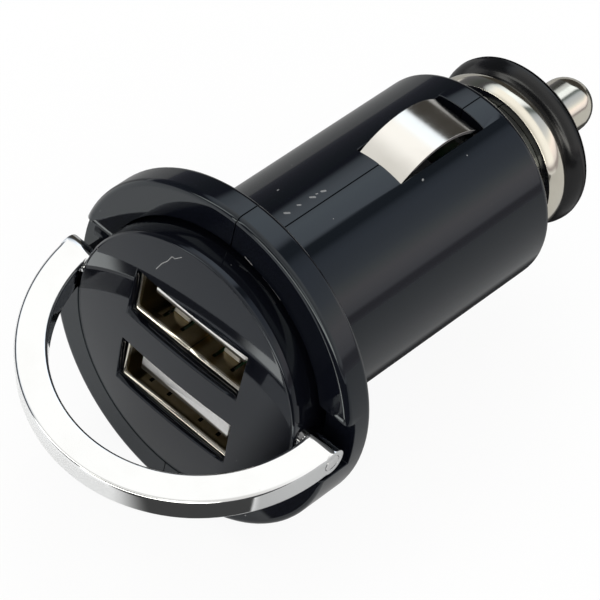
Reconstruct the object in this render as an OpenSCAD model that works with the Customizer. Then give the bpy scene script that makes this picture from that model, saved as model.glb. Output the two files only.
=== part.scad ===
// Twin-port car socket charger with a fold-away half-ring pull handle.
// The plug axis is Y: the face with the two ports looks along -Y, the sprung tip along +Y.
// X is the hinge line of the handle and Z points to the side where the handle stows.
// The origin lies on the axis, at the back of the head, where the barrel starts.

/* [Head] */
// Diameter of the head
head_d = 32.4; // [31:0.2:38]
// Thickness of the flange behind the stowing shelf
flange_t = 3.1; // [2.6:0.1:5]
// Height of the fixed half of the head above the shelf
raised_h = 2.7; // [2.4:0.1:3.4]
// Depth below the plug axis at which the fixed half begins, which is the handle's stop
stop_drop = 1.4; // [1.4:0.1:2.2]
// Depth of the two hinge pockets below the shelf
pocket_depth = 0.9; // [0.3:0.1:1.4]
// Height of the hinge pockets above the axis
pocket_h = 3.5; // [2.6:0.1:5]
// Rounding of the rim edges
rim_fillet = 0.6; // [0.2:0.1:1.2]

/* [Face plate] */
// Play between the face plate and the inside of the stowed ring
face_gap = 0.35; // [0.2:0.05:0.8]
// How far the plate's edge stands in front of the fixed half of the head
face_proud = 0.4; // [0:0.1:1]
// Height of the crown of the face above its edge
face_dome = 0.95; // [0.2:0.05:1.5]
// Thickness of the plate at its edge
face_t = 1.3; // [1:0.1:1.8]
// Rounding of the face's edge
face_fillet = 0.35; // [0.1:0.05:0.6]
// Wall of the skirt that sits in the head
skirt_wall = 1.2; // [0.8:0.1:1.6]
// Length of the skirt that is sunk in the head below the shelf
skirt_seat = 1.6; // [1:0.1:2]
// Size of the two blocks behind the face that hold the hinge pins
boss_size = 3.2; // [2.8:0.1:3.6]

/* [Barrel] */
// Diameter of the barrel
barrel_d = 20.9; // [20.6:0.1:21.4]
// Length of the barrel
barrel_len = 31.3; // [29:0.1:40]
// Wall of the barrel
barrel_wall = 1.5; // [1:0.1:1.8]
// Rounding of the barrel's end
barrel_fillet = 0.8; // [0.4:0.1:2]
// Length of the neck between the barrel and the nickel ring
neck_len = 3; // [1:0.1:6]
// Step from the threaded spigot up to the neck
neck_step = 0.8; // [0.3:0.1:1.3]
// Wall of the spigot round its bore, in which the spring works
spigot_wall = 2; // [1.5:0.1:2.2]

/* [Nose] */
// Largest diameter of the nickel ring
nose_ring_d = 16.2; // [15.6:0.1:17]
// Bulge of the nickel ring beyond its two edges
nose_bulge = 0.35; // [0.1:0.05:0.7]
// Wall of the nickel ring round the spigot
nose_ring_wall = 1.85; // [1.4:0.05:2.2]
// Length of the nickel ring
nose_ring_len = 2.45; // [1.5:0.05:4]
// Reach of the black nose cap beyond the nickel ring
cap_reach = 0.45; // [0.2:0.05:1.2]
// Length of the nose cap
cap_len = 3.9; // [3.6:0.1:6]
// Thickness of the cap's end wall
cap_wall = 1.6; // [1:0.1:2]
// Diameter of the centre contact
tip_d = 5.45; // [4:0.05:5.6]
// Reach of the centre contact in front of the nose cap
tip_reach = 8.15; // [5:0.05:10]
// Travel of the centre contact
tip_travel = 3; // [1:0.1:4]
// Play of the contact's collar in the spigot's bore
collar_play = 0.25; // [0.2:0.05:0.6]
// Thickness of the collar
collar_t = 1; // [0.6:0.1:1.4]
// Rounding of the cap's edge beside the nickel ring
cap_near_r = 1.6; // [0.8:0.1:1.7]
// Rounding of the cap's widest edge and of its far edge
cap_far_r = 0.6; // [0.3:0.1:0.8]
// Angle between the cap's tapered side and the plug axis
cap_taper = 48; // [40:1:60]
// Depth of the fine groove round the cap
groove_depth = 0.25; // [0.1:0.05:0.4]
// Wire of the spring behind the centre contact
spring_wire = 0.5; // [0.4:0.05:0.6]
// Distance from the collar's edge in to the middle of the spring's wire
coil_step = 1.05; // [0.6:0.05:1.4]
// Distance from the middle of the wire in to the peg that guides it
peg_step = 1.4; // [0.6:0.1:1.8]
// Turns of the spring
spring_turns = 7; // [5:1:8]

/* [Leaf contacts] */
// Width of each leaf
leaf_w = 5; // [3:0.1:6]
// Thickness of the leaf's sheet
leaf_t = 0.35; // [0.2:0.05:0.5]
// Height of the crest above the barrel
leaf_rise = 1.2; // [0.6:0.1:1.6]
// Radius of the leaf's bow
leaf_bow_r = 8.7; // [8:0.1:12]
// Place of the crest along the barrel
leaf_crest_y = 22.4; // [21:0.1:24]
// Radius of the rolled eye at the leaf's root
leaf_eye_r = 0.7; // [0.5:0.05:0.8]
// Depth of the eye's centre below the barrel's surface
leaf_eye_depth = 1.28; // [1.1:0.02:1.5]
// Angle on the bow, from the barrel's direction, at which the leaf's far end lies
tail_angle = 56.5; // [50:0.5:65]

/* [Handle] */
// Step from the rim of the head to the outside of the stowed ring
ring_reveal = 0.1; // [0:0.05:0.4]
// Width of the ring's broad face
ring_w = 2.95; // [2:0.05:3.2]
// Thickness of the ring
ring_t = 2.8; // [2:0.1:2.9]
// Rounding of the ring's edges
ring_fillet = 0.35; // [0.1:0.05:0.8]
// Height of the hinge axis above the plug axis
hinge_z = 0.4; // [0:0.1:1]
// Angle from stowed to fully open, where the photo shows the handle
open_angle = 103.7; // [60:0.1:105]
// Diameter of the hinge pins
hinge_pin_d = 1.6; // [1:0.1:1.8]
// Length of the hinge pins held in the face plate
hinge_grip = 2.6; // [1.5:0.1:3]

/* [Ports] */
// Distance between the two ports' centres
port_pitch = 8.5; // [8.2:0.1:9]
// Width of each slot in the face plate
slot_w = 13.1; // [12.9:0.05:13.4]
// Height of each slot in the face plate
slot_h = 5.3; // [5.2:0.05:5.6]
// Inside width of a port's metal shell
port_w = 12.4; // [12.2:0.05:12.5]
// Inside height of a port's metal shell
port_h = 4.7; // [4.6:0.05:4.8]
// Sheet of the port's shell
port_sheet = 0.25; // [0.2:0.05:0.3]
// Length of the port's shell
port_len = 13.2; // [11:0.1:14]
// Depth of the shells' front edge behind the edge plane of the face plate
port_inset = 0.3; // [0:0.05:1]
// Thickness of a port's tongue
tongue_t = 1.7; // [1.4:0.1:2]
// Width of a port's tongue
tongue_w = 10.5; // [10:0.1:11.5]
// Length of the moulded base that carries the tongue
base_len = 3.2; // [2:0.1:4]
// Depth of the tongue's front edge behind the shell's front edge
tongue_inset = 0.9; // [0.6:0.1:3]
// Clear height between a tongue and the shell's outer wall
tongue_head = 0.8; // [0.4:0.1:0.9]
// Width of the chamfer round the mouth of a shell
lead_in = 0.24; // [0.1:0.02:0.28]
// Distance of the spring fingers from the middle of a port
finger_x = 3; // [2.6:0.05:3.4]
// Width of a spring finger
finger_w = 1.8; // [1.6:0.1:2.2]
// Height of the finger's nose inside the port
nose_h = 1.05; // [0.9:0.05:1.2]
// Distance of the nose behind the shell's front edge
nose_place = 2.3; // [1.2:0.1:3]
// Length of the window round a spring finger
finger_len = 5; // [4:0.1:6]
// Slit cut round a spring finger
finger_slit = 0.35; // [0.2:0.05:0.4]
// Slit of the seam in the shell's inner wall
seam_slit = 0.1; // [0.05:0.01:0.2]
// Width of the shells' legs
leg_w = 2; // [1.6:0.1:2.4]
// Place of the legs behind the shells' front edge
leg_place = 6.6; // [6:0.1:8]
// Width of a contact pin of a port
pin_w = 0.9; // [0.8:0.05:1]
// Sheet of the contact pins
pin_t = 0.2; // [0.15:0.05:0.3]

/* [Circuit] */
// Thickness of the circuit board
board_t = 1.6; // [1:0.1:1.8]
// Width of the circuit board
board_w = 14; // [13.6:0.1:15]
// Diameter of the choke
choke_d = 8; // [6:0.1:8.2]
// Height of the choke
choke_h = 4.6; // [3:0.1:5]
// Diameter of the input capacitor
input_cap_d = 6; // [4:0.1:6.3]
// Length of the input capacitor
input_cap_len = 8; // [5:0.1:9]
// Diameter of the output capacitor
output_cap_d = 5; // [4:0.1:6]
// Length of the output capacitor
output_cap_len = 5; // [4:0.1:6]
// Thickness of the plate behind the spring
plate_t = 0.5; // [0.4:0.05:0.8]
// Diameter of the plate behind the spring
plate_d = 10.4; // [9.4:0.1:12]
// Sheet of the contact strips on the board
strip_t = 0.3; // [0.2:0.05:0.4]
// Width of the contact strips on the board
strip_w = 3; // [2:0.1:4]
// Length of the plate's strip that lies on the board
strip_lap = 2; // [1:0.1:3]
// Thickness of the choke's two flanges
choke_flange = 0.9; // [0.6:0.1:1.2]
// Size of the diode across the board, along it and in height
diode_size = [2.6, 4, 2];
// Size of the chip's body across the board, along it and in height
chip_size = [4, 4.9, 1.45];
// Reach of the chip's legs beside its body
chip_leg = 1; // [0.6:0.1:1.2]

/* [Fits] */
// Play between pieces that slide or turn on each other
running_gap = 0.05; // [0.02:0.01:0.1]
// Play round the leaf contacts and the ports' shells
side_gap = 0.15; // [0.05:0.01:0.2]
// Play between the handle and what it folds against
fold_gap = 0.1; // [0.05:0.01:0.3]
// Distance from the spring's plate to the circuit board
end_play = 1.6; // [1:0.1:2]
// Distance from the shells' front edge to the circuit board
front_play = 3.4; // [3:0.1:4]
// Play behind the pieces that sit in a hollow of the housing
rear_play = 0.3; // [0.2:0.05:0.5]
// Play in front of a leaf's tail when it is pressed flat
tail_play = 0.75; // [0.7:0.05:1]

/* [Hidden] */
$fn = 96;
BLACK = [0.05, 0.055, 0.07];
CHROME = [0.86, 0.87, 0.88];
NICKEL = [0.76, 0.74, 0.70];
e = 0.01;
// Step that keeps two faces of one piece from lying in the same surface
seam = 0.02;

// Stations along the plug axis
shelf_y = -flange_t;
raised_y = shelf_y - raised_h;
face_y = raised_y - face_proud;
pocket_y = shelf_y + pocket_depth;
seat_y = shelf_y + skirt_seat;
barrel_y = barrel_len;
neck_y = barrel_y + neck_len;
ring_y = neck_y + nose_ring_len;
cap_y = ring_y + cap_len;
tip_y = cap_y + tip_reach;
spigot_y = cap_y - cap_wall;
end_wall = barrel_wall;
cavity_y = barrel_y - end_wall;

// Radii
head_r = head_d / 2;
ring_ro = head_r - ring_reveal;
ring_ri = ring_ro - ring_w;
face_r = ring_ri - face_gap;
barrel_r = barrel_d / 2;
cavity_r = barrel_r - barrel_wall;
spigot_r = nose_ring_d / 2 - nose_ring_wall - running_gap;
neck_r = spigot_r + neck_step;
bore_r = spigot_r - spigot_wall;
collar_r = bore_r - collar_play;
coil_r = collar_r - coil_step;
peg_r = coil_r - peg_step;
hinge_y = shelf_y - fold_gap - ring_t / 2;
port_z = port_pitch / 2;
port_y = face_y + port_inset;
port_ow = port_w + 2 * port_sheet;
port_oh = port_h + 2 * port_sheet;
leg_x = port_ow / 2 - port_sheet / 2;
board_y0 = port_y + front_play;
board_y1 = cavity_y - plate_t - end_play;

// The leaf's bow, seen along X
bow_z = barrel_r + leaf_rise - leaf_bow_r;
bow_mid_r = leaf_bow_r - leaf_t / 2;
eye_angle = 180 - asin((barrel_r - leaf_eye_depth - bow_z) / bow_mid_r);
eye_y = leaf_crest_y + bow_mid_r * cos(eye_angle);
eye_z = bow_z + bow_mid_r * sin(eye_angle);
leaf_slot_y0 = eye_y + side_gap;
tail_reach = norm([leaf_crest_y + leaf_bow_r * cos(tail_angle) - eye_y,
    bow_z + leaf_bow_r * sin(tail_angle) - eye_z]);
leaf_slot_y1 = eye_y + tail_reach + tail_play;

// Points of an arc from angle a0 to a1
function arc(c, r, a0, a1, n = 8) =
    [for (i = [0:n]) let (a = a0 + (a1 - a0) * i / n) [c[0] + r * cos(a), c[1] + r * sin(a)]];

// Rectangle from (x0, y0) to (x1, y1) with its four corners rounded
function round_rect(x0, y0, x1, y1, r, n = 4) = concat(
    arc([x0 + r, y0 + r], r, 180, 270, n), arc([x1 - r, y0 + r], r, 270, 360, n),
    arc([x1 - r, y1 - r], r, 0, 90, n), arc([x0 + r, y1 - r], r, 90, 180, n));

// Turns a profile of (radius, station) points about the plug axis
module turned(points) {
    rotate([-90, 0, 0]) rotate_extrude() polygon(points);
}

// Round bar on the plug axis from station y0 to y1
module axis_bar(r, y0, y1) {
    translate([0, y0, 0]) rotate([-90, 0, 0]) cylinder(r = r, h = y1 - y0);
}

// Box given by its two corners
module block(a, b) {
    translate(a) cube(b - a);
}

// Outside of the moulded housing, both halves together
module housing_outside() {
    f = rim_fillet;
    turned(concat([[0, shelf_y]],
        arc([head_r - f, shelf_y + f], f, -90, 0, 5),
        arc([head_r - f, -f], f, 0, 90, 5), [[0, 0]]));
    difference() {
        turned(concat([[0, raised_y]],
            arc([head_r - f, raised_y + f], f, -90, 0, 5),
            [[head_r, shelf_y + f + e], [0, shelf_y + f + e]]));
        block([-head_r - 1, raised_y - 1, -stop_drop], [head_r + 1, shelf_y, head_r + 1]);
        block([-head_r - 1, shelf_y - e, -stop_drop], [head_r + 1, shelf_y + f + 1, head_r + 1]);
    }
    turned(concat([[0, -e], [barrel_r, -e]],
        arc([barrel_r - barrel_fillet, barrel_y - barrel_fillet], barrel_fillet, 0, 90, 6),
        [[neck_r, barrel_y], [neck_r, neck_y], [spigot_r, neck_y], [spigot_r, spigot_y], [0, spigot_y]]));
}

// Everything that is hollow in the housing
module housing_hollow() {
    axis_bar(face_r + running_gap, raised_y - 2, seat_y);
    axis_bar(cavity_r, seat_y - e, cavity_y);
    axis_bar(bore_r, cavity_y - e, spigot_y + 1);
    for (side = [-1, 1]) {
        block([-port_ow / 2 - side_gap, seat_y - e, side * port_z - port_oh / 2 - side_gap],
            [port_ow / 2 + side_gap, port_y + port_len + rear_play,
             side * port_z + port_oh / 2 + side_gap]);
        leaf_side(side) {
            block([-leaf_w / 2 - side_gap, leaf_slot_y0, 0],
                [leaf_w / 2 + side_gap, leaf_slot_y1, barrel_r + 1]);
            translate([-leaf_w / 2 - side_gap, eye_y, eye_z]) rotate([0, 90, 0])
                cylinder(r = leaf_eye_r + running_gap, h = leaf_w + 2 * side_gap);
            block([-leaf_w / 2 - side_gap, eye_y - leaf_eye_r - running_gap, 0],
                [leaf_w / 2 + side_gap, eye_y + leaf_eye_r, eye_z]);
        }
    }
    for (side = [-1, 1]) scale([side, 1, 1])
        block([face_r - 2, raised_y - 2, -stop_drop], [head_r + 1, pocket_y, pocket_h]);
}

// Puts what is drawn for the upper leaf on the upper or lower side
module leaf_side(side) {
    rotate([0, side > 0 ? 0 : 180, 0]) children();
}

module housing_half(side) {
    color(BLACK) intersection() {
        difference() {
            housing_outside();
            housing_hollow();
        }
        translate([side > 0 ? 0 : -head_r - 1, raised_y - 1, -head_r - 1])
            cube([head_r + 1, spigot_y - raised_y + 2, 2 * head_r + 2]);
    }
}

module left_shell() {
    housing_half(-1);
}

module right_shell() {
    housing_half(1);
}

// Radius of the sphere that crowns the face, and where the rounding of its edge begins
dome_r = (pow(face_r, 2) + pow(face_dome, 2)) / (2 * face_dome);
dome_y = face_y - face_dome + dome_r;
fillet_a = asin((face_r - face_fillet) / (dome_r - face_fillet));
fillet_y = dome_y - (dome_r - face_fillet) * cos(fillet_a);

// Ring that takes the sharp edge off the face
module face_edge() {
    round = arc([face_r - face_fillet, fillet_y], face_fillet, fillet_a - 90, 0, 6);
    turned(concat(round, [[face_r + 1, fillet_y], [face_r + 1, face_y - 2], [round[0][0], face_y - 2]]));
}

module face_plate() {
    color(BLACK) difference() {
        union() {
            difference() {
                intersection() {
                    axis_bar(face_r, face_y - face_dome - 1, seat_y - running_gap);
                    translate([0, dome_y, 0]) sphere(r = dome_r, $fn = 200);
                }
                axis_bar(face_r - skirt_wall, face_y + face_t, seat_y + 1);
            }
            for (side = [-1, 1]) intersection() {
                axis_bar(face_r - e, face_y, seat_y);
                block([side > 0 ? face_r - hinge_grip : -face_r, face_y + face_t - e,
                        hinge_z - boss_size / 2],
                    [side > 0 ? face_r : hinge_grip - face_r, hinge_y + boss_size / 2,
                        hinge_z + boss_size / 2]);
            }
        }
        face_edge();
        for (side = [-1, 1])
            block([-slot_w / 2, face_y - face_dome - 1, side * port_z - slot_h / 2],
                [slot_w / 2, seat_y + 1, side * port_z + slot_h / 2]);
        translate([-head_r, hinge_y, hinge_z]) rotate([0, 90, 0]) cylinder(d = hinge_pin_d, h = head_d);
    }
}

// Half ring, round ends and pin bores of the handle, drawn stowed
module stowed_handle() {
    difference() {
        union() {
            difference() {
                turned(round_rect(ring_ri, hinge_y - ring_t / 2, ring_ro, hinge_y + ring_t / 2, ring_fillet));
                block([-head_r - 1, hinge_y - ring_t, -head_r - 1], [head_r + 1, hinge_y + ring_t, hinge_z]);
            }
            handle_end(1);
            handle_end(-1);
        }
        translate([-head_r, hinge_y, hinge_z]) rotate([0, 90, 0])
            cylinder(d = hinge_pin_d + 2 * running_gap, h = head_d);
    }
}

// Round end of the handle on one side of the hinge line
module handle_end(side) {
    intersection() {
        difference() {
            axis_bar(ring_ro - seam, hinge_y - ring_t, hinge_y + ring_t);
            axis_bar(ring_ri + seam, hinge_y - ring_t - 1, hinge_y + ring_t + 1);
        }
        translate([side > 0 ? ring_ri - 1 : -ring_ro - 1, hinge_y, hinge_z])
            rotate([0, 90, 0]) cylinder(d = ring_t - 2 * seam, h = ring_w + 2);
    }
}

module pull_handle() {
    color(CHROME) translate([0, hinge_y, hinge_z]) rotate([open_angle, 0, 0])
        translate([0, -hinge_y, -hinge_z]) stowed_handle();
}

module hinge_pin(side) {
    color(CHROME) intersection() {
        translate([side > 0 ? face_r - hinge_grip : -ring_ro, hinge_y, hinge_z]) rotate([0, 90, 0])
            cylinder(d = hinge_pin_d, h = ring_ro - face_r + hinge_grip);
        axis_bar(ring_ro, hinge_y - 2, hinge_y + 2);
    }
}

// Bowed leaf with a rolled eye at its root
module leaf() {
    color(NICKEL) {
        translate([0, leaf_crest_y, bow_z]) rotate([90, 0, 90]) rotate([0, 0, tail_angle])
            rotate_extrude(angle = eye_angle - tail_angle)
                translate([leaf_bow_r - leaf_t, -leaf_w / 2]) square([leaf_t, leaf_w]);
        difference() {
            translate([-leaf_w / 2, eye_y, eye_z]) rotate([0, 90, 0]) cylinder(r = leaf_eye_r, h = leaf_w);
            translate([-leaf_w / 2 - 1, eye_y, eye_z]) rotate([0, 90, 0])
                cylinder(r = leaf_eye_r - leaf_t, h = leaf_w + 2);
        }
    }
}

module top_contact() {
    leaf_side(1) leaf();
}

module bottom_contact() {
    leaf_side(-1) leaf();
}

// Step between the nickel ring and the rounding of the cap, sweep of that rounding, and width of the groove
bead_step = 0.2;
bead_sweep = 70;
groove_w = 0.25;

// Radius and sweep of the bulge of the nickel ring
bulge_r = (pow(nose_ring_len / 2, 2) + pow(nose_bulge, 2)) / (2 * nose_bulge);
bulge_a = asin(nose_ring_len / 2 / bulge_r);

module nose_ring() {
    color(NICKEL) turned(concat([[spigot_r + running_gap, neck_y]],
        arc([nose_ring_d / 2 - bulge_r, neck_y + nose_ring_len / 2], bulge_r, -bulge_a, bulge_a, 8),
        [[spigot_r + running_gap, ring_y]]));
}

module nose_cap() {
    r = nose_ring_d / 2 + cap_reach;
    wide_y = ring_y + bead_step + cap_near_r;
    groove_y = wide_y + seam;
    taper_r = r - cap_far_r + cap_far_r * cos(cap_taper);
    taper_y = wide_y + cap_far_r * sin(cap_taper);
    side = (cap_y - cap_far_r * (1 - sin(cap_taper)) - taper_y) / cos(cap_taper);
    end_r = taper_r - side * sin(cap_taper);
    color(BLACK) difference() {
        turned(concat([[0, ring_y], [nose_ring_d / 2 - nose_bulge - bead_step, ring_y]],
            arc([r - cap_near_r, wide_y], cap_near_r, -bead_sweep, 0, 5),
            arc([r - cap_far_r, wide_y], cap_far_r, 10, cap_taper, 3),
            arc([end_r - cap_far_r * cos(cap_taper), cap_y - cap_far_r], cap_far_r, cap_taper, 90, 3),
            [[0, cap_y]]));
        axis_bar(spigot_r + running_gap, ring_y - 1, spigot_y + running_gap);
        axis_bar(tip_d / 2 + running_gap, ring_y, cap_y + 1);
        turned([[r - groove_depth, groove_y], [r + 1, groove_y], [r + 1, groove_y + groove_w],
            [r - groove_depth, groove_y + groove_w]]);
    }
}

module contact_tip() {
    r = tip_d / 2;
    collar_y = spigot_y - running_gap;
    peg_y = cavity_y + tip_travel + spring_wire;
    color(NICKEL) turned(concat(
        [[0, peg_y], [peg_r, peg_y], [peg_r, collar_y - collar_t],
         [collar_r, collar_y - collar_t], [collar_r, collar_y], [r, collar_y]],
        arc([0, tip_y - r], r, 0, 90, 12)));
}

// Coil wound along the plug axis between the plate and the collar
module tip_spring() {
    wire = spring_wire;
    steps = 14;
    sides = 6;
    y0 = cavity_y + wire / 2;
    y1 = spigot_y - running_gap - collar_t - wire / 2;
    count = spring_turns * steps;
    points = [for (i = [0:count], k = [0:sides - 1])
        let (a = 360 * i / steps, b = 360 * k / sides, rr = coil_r + wire / 2 * cos(b))
        [rr * cos(a), y0 + (y1 - y0) * i / count + wire / 2 * sin(b), rr * sin(a)]];
    skin = [for (i = [0:count - 1], k = [0:sides - 1])
        let (k2 = (k + 1) % sides)
        [i * sides + k, (i + 1) * sides + k, (i + 1) * sides + k2, i * sides + k2]];
    color(CHROME) polyhedron(points,
        concat([[for (k = [0:sides - 1]) k]], skin, [[for (k = [sides - 1:-1:0]) count * sides + k]]));
}

module spring_plate() {
    color(NICKEL) {
        axis_bar(plate_d / 2, cavity_y - plate_t, cavity_y);
        block([-strip_w / 2, board_y1 - strip_lap, board_t / 2],
            [strip_w / 2, cavity_y - plate_t + e, board_t / 2 + strip_t]);
    }
}

module circuit_board() {
    color([0.1, 0.35, 0.2]) difference() {
        block([-board_w / 2, board_y0, -board_t / 2], [board_w / 2, board_y1, board_t / 2]);
        for (x = [-1, 1])
            block([x * leg_x - port_sheet / 2 - side_gap, port_y + leg_place - side_gap, -board_t],
                [x * leg_x + port_sheet / 2 + side_gap, port_y + leg_place + leg_w + side_gap, board_t]);
    }
}

// Distance of the tongue's foot from the shell's walls
foot_step = 0.5;

// Folded metal shell of one port, drawn with the board below it
module port_shell() {
    z0 = port_z - port_oh / 2;
    y1 = port_y + port_len;
    color(NICKEL) difference() {
        union() {
            block([-port_ow / 2, port_y, z0], [port_ow / 2, y1, z0 + port_oh]);
            for (x = [-1, 1]) block([x * leg_x - port_sheet / 2, port_y + leg_place, seam],
                [x * leg_x + port_sheet / 2, port_y + leg_place + leg_w, z0 + e]);
        }
        block([-port_w / 2, port_y - 1, z0 + port_sheet],
            [port_w / 2, y1 - port_sheet, z0 + port_oh - port_sheet]);
        block([-seam_slit / 2, port_y - 1, z0 - 1],
            [seam_slit / 2, port_y + front_play, z0 + port_sheet + e]);
        block([foot_step - port_w / 2, y1 - base_len - side_gap, z0 - 1],
            [port_w / 2 - foot_step, y1 + 1, z0 + port_sheet + e]);
        for (x = [-1, 1]) for (wall = [z0, z0 + port_oh - port_sheet])
            finger_window(x * finger_x, wall);
        for (s = [-1, 1]) {
            translate([0, port_y, port_z + s * port_h / 2]) rotate([45, 0, 0])
                cube([port_w, lead_in, lead_in], center = true);
            translate([s * port_w / 2, port_y, port_z]) rotate([0, 0, 45])
                cube([lead_in, lead_in, port_h], center = true);
        }
    }
    color(NICKEL) for (x = [-1, 1]) port_finger(x * finger_x, z0 + port_sheet);
}

// Window in the top or bottom wall round a spring finger
module finger_window(x, z) {
    difference() {
        block([x - finger_w / 2 - finger_slit, port_y + 1, z - e],
            [x + finger_w / 2 + finger_slit, port_y + 1 + finger_len, z + port_sheet + e]);
        block([x - finger_w / 2, port_y, z - 1],
            [x + finger_w / 2, port_y + 1 + finger_len - finger_slit, z + 1]);
    }
}

// Rounded nose that a spring finger shows inside the port, on the wall whose inside is at height z
module port_finger(x, z) {
    y = port_y + nose_place;
    top = z + nose_h - finger_w / 2;
    block([x - finger_w / 2, y - port_sheet / 2, z - port_sheet / 2],
        [x + finger_w / 2, y + port_sheet / 2, top]);
    intersection() {
        translate([x, y, top]) rotate([90, 0, 0])
            cylinder(d = finger_w - seam, h = port_sheet, center = true, $fn = 32);
        block([x - finger_w, y - 1, top - seam], [x + finger_w, y + 1, top + finger_w]);
    }
}

module port_tongue() {
    tongue_y = port_y + tongue_inset;
    top = port_z + port_h / 2 - tongue_head;
    rear_y = port_y + port_len - base_len;
    foot_x = port_w / 2 - foot_step - seam;
    color([0.85, 0.85, 0.87]) difference() {
        union() {
            block([-tongue_w / 2, tongue_y, top - tongue_t], [tongue_w / 2, rear_y + 1, top]);
            block([-port_w / 2 + seam, rear_y, port_z - port_h / 2 + seam],
                [port_w / 2 - seam, port_y + port_len - port_sheet - seam, port_z + port_h / 2 - seam]);
            block([-foot_x, rear_y, board_t / 2],
                [foot_x, rear_y + base_len / 2, port_z - port_h / 2 + foot_step]);
        }
        for (x = pin_places) block([x - pin_w / 2 - running_gap, tongue_y + pin_inset, top - tongue_t - 1],
            [x + pin_w / 2 + running_gap, rear_y, top - tongue_t + pin_t]);
    }
}

// Places of the four pins across a port, and of their ends behind the tongue's edge
pin_places = [-3.5, -1, 1, 3.5];
pin_inset = 0.8;

module port_pins() {
    tongue_y = port_y + tongue_inset;
    under = port_z + port_h / 2 - tongue_head - tongue_t;
    rear_y = port_y + port_len - base_len;
    color([0.83, 0.68, 0.36]) for (x = pin_places) {
        block([x - pin_w / 2, tongue_y + pin_inset + side_gap, under],
            [x + pin_w / 2, rear_y - seam, under + pin_t]);
        translate([x, tongue_y + 4 * pin_inset, under + pin_t - pin_w / 2]) rotate([0, 90, 0])
            cylinder(d = pin_w, h = pin_w, center = true, $fn = 32);
    }
}

module upper_port_shell() {
    port_shell();
}

module lower_port_shell() {
    rotate([0, 180, 0]) port_shell();
}

module upper_port_tongue() {
    port_tongue();
}

module lower_port_tongue() {
    rotate([0, 180, 0]) port_tongue();
}

module upper_port_pins() {
    port_pins();
}

module lower_port_pins() {
    rotate([0, 180, 0]) port_pins();
}

// Strip that stands on the board and touches the eye of a leaf
module ground_strip() {
    y = eye_y - strip_w / 6;
    half = strip_w / 2;
    top = eye_z - leaf_eye_r - fold_gap;
    color(NICKEL) {
        block([-half, y - half, board_t / 2], [half, y + strip_t, board_t / 2 + strip_t]);
        block([-half, y, board_t / 2 + strip_t - e], [half, y + strip_t, top - strip_t]);
        block([-half, y, top - strip_t - e], [half, y + strip_w / 3, top]);
    }
}

module upper_ground_strip() {
    ground_strip();
}

module lower_ground_strip() {
    rotate([0, 180, 0]) ground_strip();
}

module choke() {
    y = board_y1 - end_play - 1 - choke_d / 2;
    z = board_t / 2;
    color([0.25, 0.25, 0.26]) translate([0, y, z]) {
        cylinder(d = choke_d, h = choke_flange);
        cylinder(d = choke_d - 1.2, h = choke_h);
        translate([0, 0, choke_h - choke_flange]) cylinder(d = choke_d, h = choke_flange);
    }
}

// Bevel and crimp depth of the capacitors' cans, and place of the crimp before the can's end
can_step = 0.3;
can_crimp = 1.2;

// Can of a capacitor that lies along the board, from station y0
module lying_can(d, len, y0, z) {
    s = can_step;
    y1 = y0 + len;
    crimp = y1 - can_crimp;
    translate([0, 0, z]) turned([[0, y0], [d / 2 - s, y0], [d / 2, y0 + s], [d / 2, crimp - s],
        [d / 2 - s, crimp], [d / 2, crimp + s], [d / 2, y1 - s], [d / 2 - s, y1], [0, y1]]);
}

module input_capacitor() {
    color([0.15, 0.2, 0.45]) lying_can(input_cap_d, input_cap_len, eye_y + 2 * leaf_eye_r,
        -board_t / 2 - input_cap_d / 2);
}

module output_capacitor() {
    color([0.15, 0.2, 0.45]) lying_can(output_cap_d, output_cap_len, port_y + port_len + 2 * rear_play,
        board_t / 2 + output_cap_d / 2);
}

// Pitch and sheet of the chip's legs
leg_pitch = 1.27;
leg_sheet = 0.4;

module regulator_chip() {
    y = port_y + port_len + 1 + chip_size[1] / 2;
    z = -board_t / 2;
    half = chip_size[0] / 2;
    color([0.1, 0.1, 0.11]) {
        block([-half, y - chip_size[1] / 2, z - side_gap - chip_size[2]],
            [half, y + chip_size[1] / 2, z - side_gap]);
        for (x = [-1, 1]) for (i = [-1.5:1:1.5])
            translate([x * half, y + i * leg_pitch, z - leg_sheet / 2])
                cube([2 * chip_leg, leg_sheet, leg_sheet], center = true);
    }
}

module diode() {
    y = board_y1 - end_play - 1 - choke_d / 2;
    x = board_w / 2 - side_gap - diode_size[0];
    color([0.12, 0.12, 0.13])
        block([x, y - diode_size[1] / 2, board_t / 2], [x + diode_size[0], y + diode_size[1] / 2,
            board_t / 2 + diode_size[2]]);
}

left_shell();
right_shell();
face_plate();
pull_handle();
hinge_pin(-1);  // left_hinge_pin
hinge_pin(1);  // right_hinge_pin
top_contact();
bottom_contact();
nose_ring();
nose_cap();
contact_tip();
tip_spring();
spring_plate();
circuit_board();
upper_port_shell();
lower_port_shell();
upper_port_tongue();
lower_port_tongue();
upper_port_pins();
lower_port_pins();
upper_ground_strip();
lower_ground_strip();
choke();
input_capacitor();
output_capacitor();
regulator_chip();
diode();
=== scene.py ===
"""Picture of a compact car socket charger with a folding half-ring handle.

Every piece stands in the CAD's own frame, in metres: the plug axis is Y, with the sprung tip
towards +Y and the face with the ports towards -Y. The handle's hinge line runs along X. Sizes
that this script names itself are in millimetres, unless their words say otherwise.
"""

import logging
import math
from collections.abc import Sequence
from dataclasses import dataclass
from enum import Enum

import bmesh
import bpy
from mathutils import Matrix, Vector


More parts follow.
